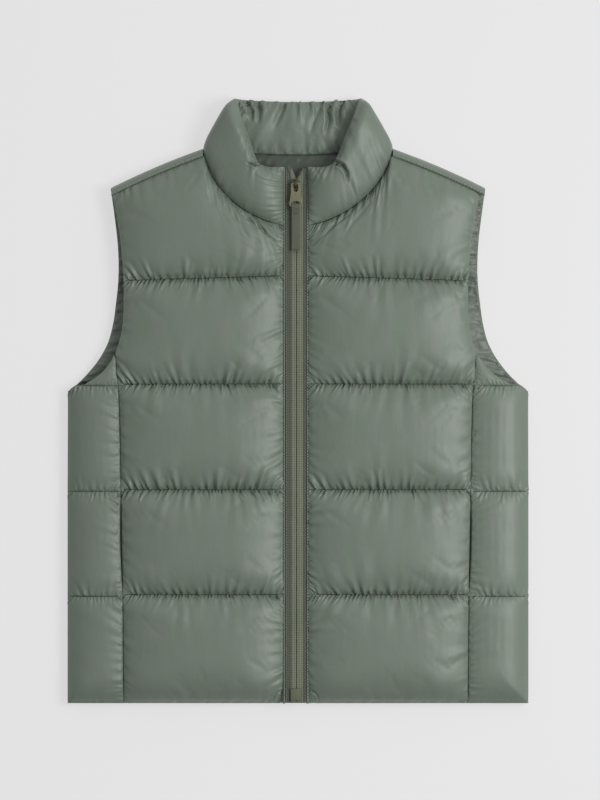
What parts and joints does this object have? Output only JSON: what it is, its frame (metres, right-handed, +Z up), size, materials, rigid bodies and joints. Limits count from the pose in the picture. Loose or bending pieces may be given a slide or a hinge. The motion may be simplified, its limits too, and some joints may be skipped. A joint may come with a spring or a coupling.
{
  "type": "padded puffer vest",
  "caption": "Padded sleeveless vest laid flat, with quilted chambers, a stand collar, in-seam pockets and a front zip with a swinging pull.",
  "frame": {"origin": "middle of the laid-out vest's outline, on the surface it lies on", "axes": "+Y from the hem to the collar, +Z up out of the front, +X to the right as seen from above"},
  "size_m": [0.53, 0.6953, 0.0405],
  "materials": {
    "shell": "soft-sheen woven nylon shell, sage green, puckered along its quilting seams",
    "lining": "thin woven polyester lining, sage green, softly shiny and crumpled",
    "zip_tape": "matt ribbed olive polyester tape",
    "zip_metal": "satin olive paint on cast metal"
  },
  "bodies": {
    "vest": {"back_panel": "shell", "front_left": "shell", "front_right": "shell", "side_left": "shell", "side_right": "shell", "shoulder_left": "shell", "shoulder_right": "shell", "collar_outer": "shell", "collar_inner": "shell", "zip_facing_left": "shell", "zip_facing_right": "shell", "back_lining": "lining", "pocket_bag_left": "lining", "pocket_bag_right": "lining", "zip_tape_left": "zip_tape", "zip_tape_right": "zip_tape", "zip_slider": "zip_metal", "zip_box": "zip_metal"},
    "pull": {"pull_tab": "zip_metal", "pull_strap": "zip_tape"}
  },
  "joints": [
    {"name": "pull_swing", "type": "hinge", "parent": "vest", "child": "pull", "pos_m": [-0.0025, 0.2495, 0.0314], "axis": [-1, 0, 0], "range_deg": [0, 160]}
  ]
}
